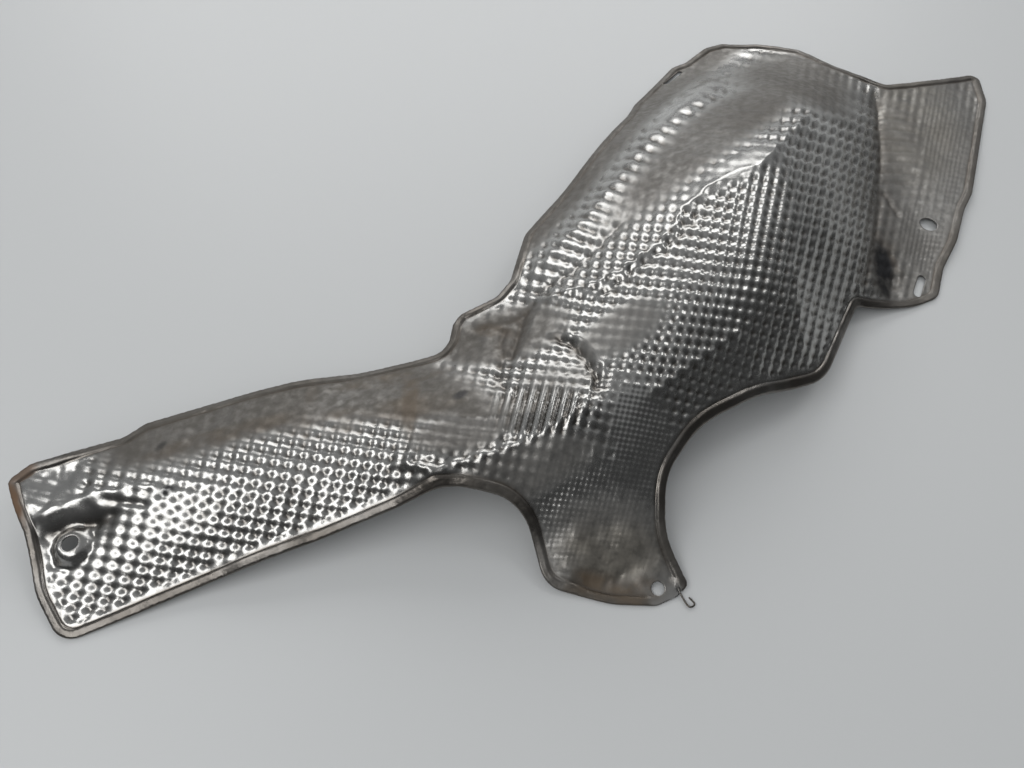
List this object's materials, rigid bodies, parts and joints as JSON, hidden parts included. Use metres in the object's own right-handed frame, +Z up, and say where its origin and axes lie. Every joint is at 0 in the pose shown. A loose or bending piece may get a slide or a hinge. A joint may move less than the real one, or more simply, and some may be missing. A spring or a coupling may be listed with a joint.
{
  "type": "exhaust heat shield",
  "caption": "Pressed aluminium exhaust heat shield: a long arm, a domed body and a flange in one embossed sheet with a hemmed rim and bolt holes.",
  "frame": {"origin": "on the surface that the shield lies on, below the middle of its box", "axes": "+X along the shield from the arm's end to the flange's tip, +Y from the tongue to the back edge, +Z up, away from the exhaust"},
  "size_m": [0.6958, 0.2772, 0.0743],
  "materials": {
    "embossed_aluminium": "dull, weathered aluminium sheet with an embossed dimple pattern"
  },
  "bodies": {
    "root": {"heat_shield": "embossed_aluminium"}
  },
  "joints": []
}
